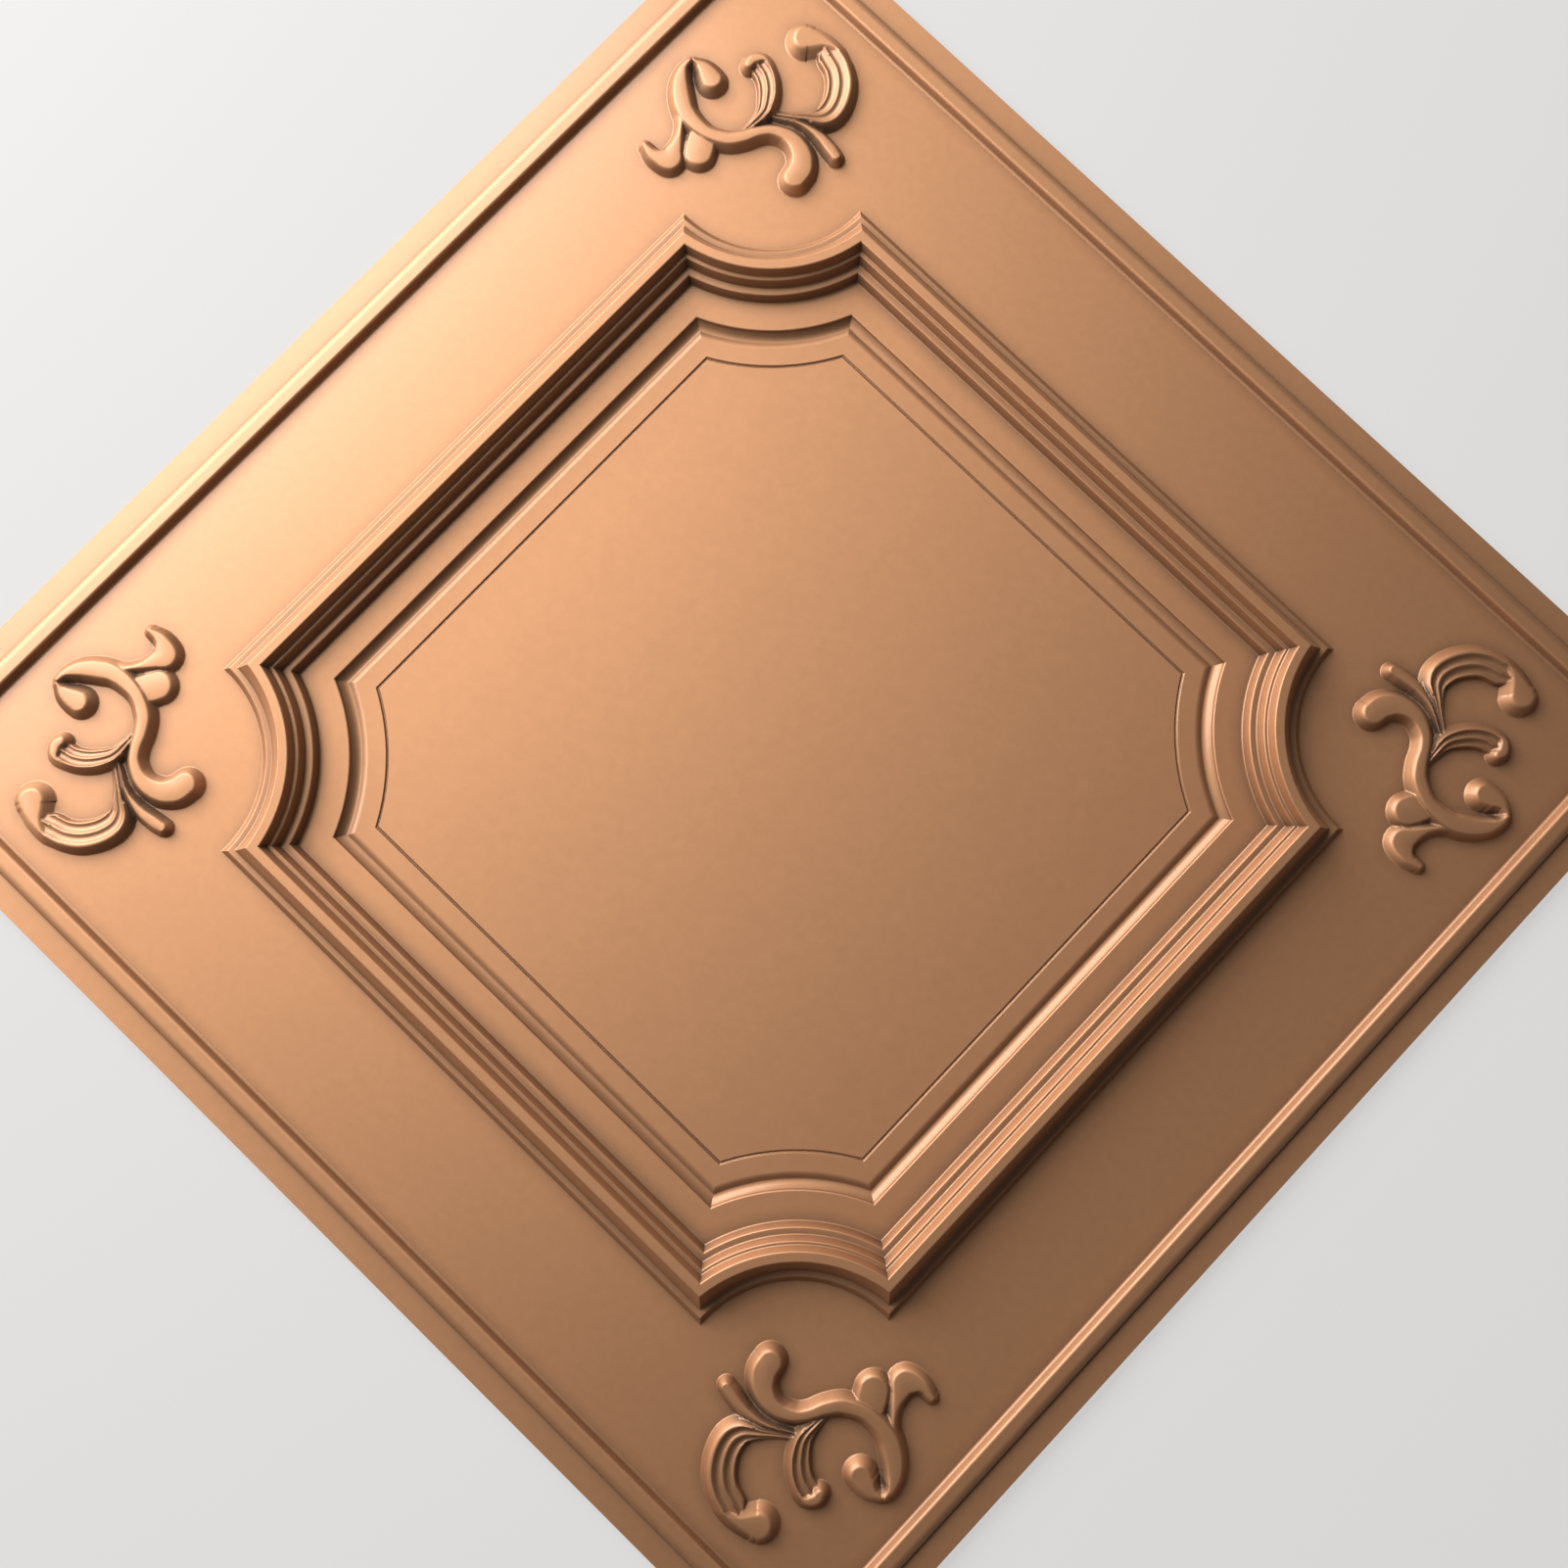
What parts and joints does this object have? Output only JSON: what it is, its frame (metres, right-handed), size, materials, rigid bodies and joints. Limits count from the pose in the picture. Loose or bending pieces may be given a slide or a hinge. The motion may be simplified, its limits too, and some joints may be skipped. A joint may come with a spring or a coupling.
{
  "type": "pvc ceiling tile",
  "caption": "Square ceiling tile formed from one thin sheet, with a stepped rim, a moulded coffer with scooped corners, a centre panel inside a hollow, and scrolls in the corners.",
  "frame": {"origin": "middle of the plane that the back of the tile rests on, with the tile lying face up", "axes": "+Z out of the tile's face, +X and +Y along its sides"},
  "size_m": [0.595, 0.595, 0.0182],
  "materials": {
    "copper_pvc": "satin metallic copper coat on PVC, with fine grain"
  },
  "bodies": {
    "root": {"ceiling_tile": "copper_pvc"}
  },
  "joints": []
}
